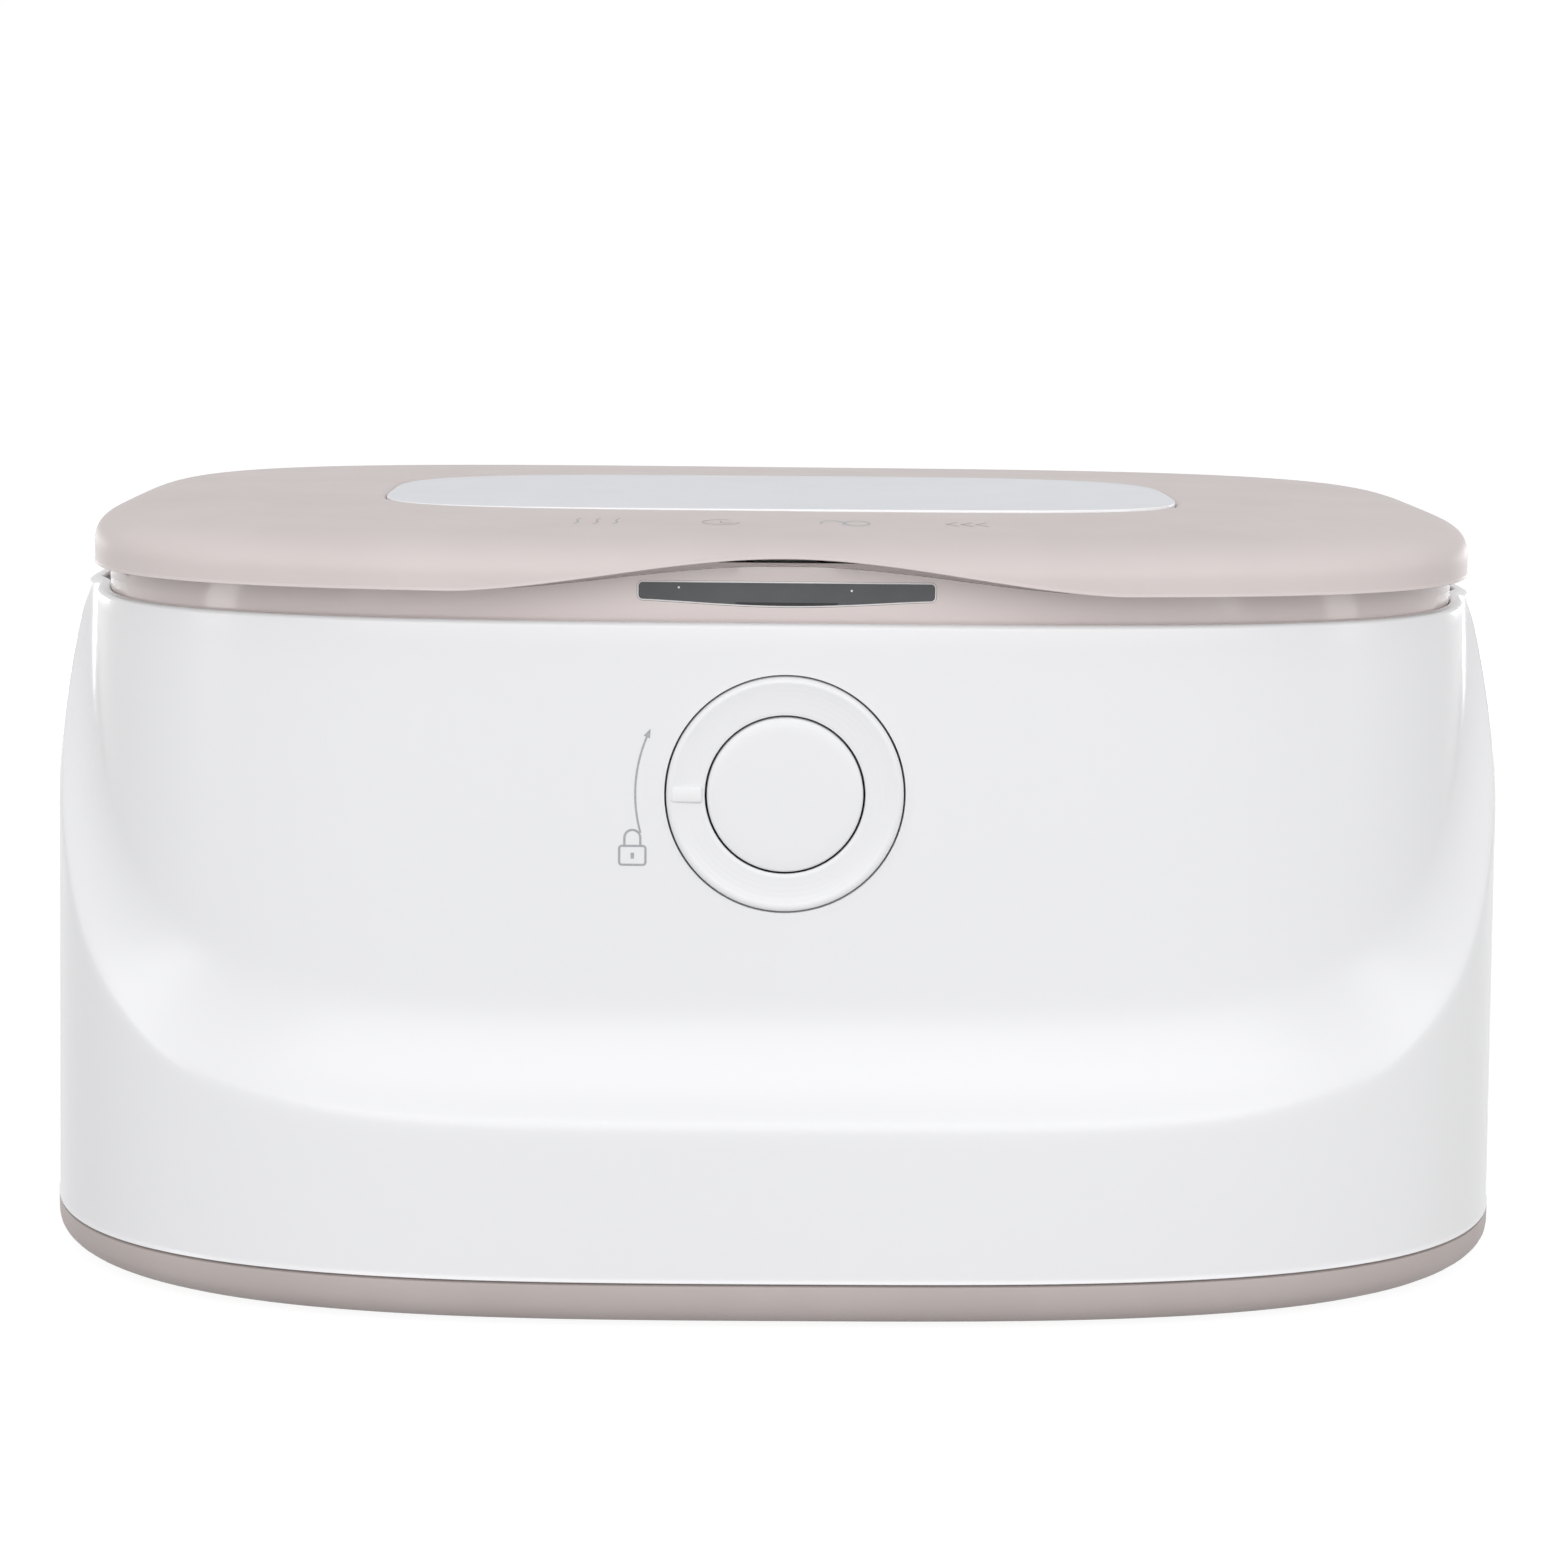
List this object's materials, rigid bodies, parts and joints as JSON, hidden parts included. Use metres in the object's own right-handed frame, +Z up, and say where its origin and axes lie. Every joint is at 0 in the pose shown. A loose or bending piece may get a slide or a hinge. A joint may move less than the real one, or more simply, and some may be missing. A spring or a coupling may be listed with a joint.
{
  "type": "baby wipe warmer",
  "caption": "Countertop warmer for baby wipes: heated tub in a scooped white housing under a taupe hinged lid that a front push button releases and a turning ring locks.",
  "frame": {"origin": "middle of the footprint at the underside of the feet", "axes": "+X to the user's right, +Y to the back, +Z up; the button faces -Y"},
  "size_m": [0.241, 0.157, 0.1222],
  "materials": {
    "white_gloss_abs": "glossy moulded",
    "white_satin_plastic": "satin moulded",
    "taupe_satin_abs": "satin moulded",
    "taupe_gloss_abs": "glossy moulded",
    "smoked_lens": "polished, smoked",
    "opal_diffuser": "polished, opal",
    "silicone_rubber": "matt",
    "foot_rubber": "matt",
    "zinc_plated_steel": "zinc plated",
    "spring_steel": "drawn wire",
    "circuit_board": "solder mask",
    "heater_foil": "polyimide film",
    "insulation_foam": "felted foam",
    "black_plastic": "satin moulded",
    "natural_acetal": "satin moulded"
  },
  "bodies": {
    "root": {"outer_housing": "white_gloss_abs", "wipe_tub": "white_satin_plastic", "dial_carrier": "white_satin_plastic", "latch_bracket": "white_satin_plastic", "base_cover": "taupe_satin_abs", "inner_frame": "taupe_gloss_abs", "display_lens": "smoked_lens", "foot_1": "foot_rubber", "foot_2": "foot_rubber", "foot_3": "foot_rubber", "foot_4": "foot_rubber", "base_screw_1": "zinc_plated_steel", "base_screw_2": "zinc_plated_steel", "base_screw_3": "zinc_plated_steel", "base_screw_4": "zinc_plated_steel", "frame_screw_1": "zinc_plated_steel", "frame_screw_2": "zinc_plated_steel", "frame_screw_3": "zinc_plated_steel", "frame_screw_4": "zinc_plated_steel", "board_screw_1": "zinc_plated_steel", "board_screw_2": "zinc_plated_steel", "bracket_screw_1": "zinc_plated_steel", "bracket_screw_2": "zinc_plated_steel", "latch_pin": "zinc_plated_steel", "hinge_spring_left": "spring_steel", "hinge_spring_right": "spring_steel", "control_board": "circuit_board", "display_board": "circuit_board", "heater_band": "heater_foil", "insulation_sleeve": "insulation_foam", "thermal_cutout": "black_plastic", "power_jack": "black_plastic", "power_lead": "black_plastic", "heater_lead": "black_plastic", "temperature_sensor": "natural_acetal"},
    "lid": {"lid_shell": "taupe_satin_abs", "light_panel": "opal_diffuser", "lamp_board": "circuit_board", "touch_film": "circuit_board", "lid_liner": "white_satin_plastic", "lid_seal": "silicone_rubber", "catch_pin": "zinc_plated_steel", "hinge_pin_left": "zinc_plated_steel", "hinge_pin_right": "zinc_plated_steel"},
    "dial": {"dial_ring": "white_gloss_abs", "lock_hook": "natural_acetal"},
    "button": {"push_button": "white_gloss_abs", "button_spring": "spring_steel"},
    "latch": {"latch_lever": "natural_acetal"}
  },
  "joints": [
    {"name": "lid_hinge", "type": "hinge", "parent": "root", "child": "lid", "pos_m": [0, 0.0709, 0.1134], "axis": [-1, 0, 0], "range_deg": [0, 95], "stiffness_Nm_per_rad": 0.05, "springref_deg": 95.11},
    {"name": "dial_turn", "type": "hinge", "parent": "root", "child": "dial", "pos_m": [0, -0.073, 0.0819], "axis": [0, 1, 0], "range_deg": [-22, 25]},
    {"name": "button_press", "type": "slide", "parent": "root", "child": "button", "axis": [0, 1, 0], "range_m": [0, 0.0025], "stiffness_N_per_m": 350, "springref_m": -0.001, "deforming": ["button_spring"]},
    {"name": "latch_swing", "type": "hinge", "parent": "root", "child": "latch", "pos_m": [0, -0.0576, 0.096], "axis": [1, 0, 0], "range_deg": [0, 10.2]}
  ],
  "couplings": [
    {"joint": "latch_swing", "follows": "button_press", "rad_per_m": 70.2}
  ]
}
